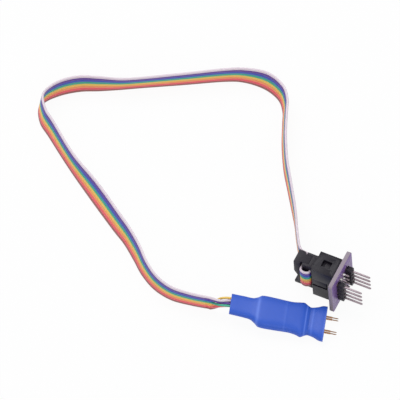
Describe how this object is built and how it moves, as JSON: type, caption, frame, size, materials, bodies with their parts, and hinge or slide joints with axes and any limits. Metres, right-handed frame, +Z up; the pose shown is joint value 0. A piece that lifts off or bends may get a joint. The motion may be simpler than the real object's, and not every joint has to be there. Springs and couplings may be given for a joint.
{
  "type": "pin adapter and spring probe cable for microcontroller programming",
  "caption": "Rainbow ribbon cable that links a shrouded header adapter with pin strips to a sleeved spring probe head for programming a microcontroller.",
  "frame": {"origin": "middle of the adapter board's lower edge, on the surface that the part rests on", "axes": "+X the way the adapter's pins point, +Z up, +Y the side where the ribbon leaves the socket"},
  "size_m": [0.152, 0.1026, 0.0178],
  "materials": {
    "board_mask": "semi-gloss violet solder mask",
    "gold_plate": "plated",
    "black_plastic": "moulded",
    "gray_plastic": "moulded",
    "pin_metal": "tin plated",
    "solder": "bright",
    "contact_metal": "plated",
    "ribbon_insulation": "eight coloured stripes, satin",
    "wire_gray": "satin",
    "wire_violet": "satin",
    "wire_blue": "satin",
    "wire_green": "satin",
    "wire_yellow": "satin",
    "wire_orange": "satin",
    "wire_red": "satin",
    "wire_brown": "satin",
    "blue_sleeve": "shrunk sleeve",
    "barrel_metal": "plated",
    "spring_steel": "wire",
    "plunger_metal": "plated"
  },
  "bodies": {
    "cable": {"socket_body": "gray_plastic", "socket_contacts": "contact_metal", "socket_cover": "gray_plastic", "strain_relief": "gray_plastic", "ribbon_fold": "ribbon_insulation", "ribbon_cable": "ribbon_insulation", "tail_gray": "wire_gray", "tail_violet": "wire_violet", "tail_blue": "wire_blue", "tail_green": "wire_green", "tail_yellow": "wire_yellow", "tail_orange": "wire_orange", "tail_red": "wire_red", "tail_brown": "wire_brown", "heat_shrink_sleeve": "blue_sleeve", "probe_board": "board_mask", "probe_pads": "gold_plate", "tail_solder": "solder", "barrel_solder": "solder", "probe_barrel_1": "barrel_metal", "probe_spring_1": "spring_steel", "probe_barrel_2": "barrel_metal", "probe_spring_2": "spring_steel", "probe_barrel_3": "barrel_metal", "probe_spring_3": "spring_steel", "probe_barrel_4": "barrel_metal", "probe_spring_4": "spring_steel"},
    "adapter": {"adapter_board": "board_mask", "plated_holes": "gold_plate", "box_header": "black_plastic", "header_pins": "pin_metal", "header_solder": "solder", "pin_strip_front": "black_plastic", "pin_strip_back": "black_plastic", "strip_pins_front": "pin_metal", "strip_pins_back": "pin_metal", "strip_solder": "solder"},
    "plunger_1": {"probe_plunger_1": "plunger_metal"},
    "plunger_2": {"probe_plunger_2": "plunger_metal"},
    "plunger_3": {"probe_plunger_3": "plunger_metal"},
    "plunger_4": {"probe_plunger_4": "plunger_metal"}
  },
  "joints": [
    {"name": "adapter_unplug", "type": "slide", "parent": "cable", "child": "adapter", "axis": [1, 0, 0], "range_m": [0, 0.012]},
    {"name": "plunger_1_press", "type": "slide", "parent": "cable", "child": "plunger_1", "axis": [-0.9628, -0.249, 0.1045], "range_m": [0, 0.002], "stiffness_N_per_m": 250, "springref_m": -0.001, "deforming": ["probe_spring_1"]},
    {"name": "plunger_2_press", "type": "slide", "parent": "cable", "child": "plunger_2", "axis": [-0.9628, -0.249, 0.1045], "range_m": [0, 0.002], "stiffness_N_per_m": 250, "springref_m": -0.001, "deforming": ["probe_spring_2"]},
    {"name": "plunger_3_press", "type": "slide", "parent": "cable", "child": "plunger_3", "axis": [-0.9628, -0.249, 0.1045], "range_m": [0, 0.002], "stiffness_N_per_m": 250, "springref_m": -0.001, "deforming": ["probe_spring_3"]},
    {"name": "plunger_4_press", "type": "slide", "parent": "cable", "child": "plunger_4", "axis": [-0.9628, -0.249, 0.1045], "range_m": [0, 0.002], "stiffness_N_per_m": 250, "springref_m": -0.001, "deforming": ["probe_spring_4"]}
  ]
}
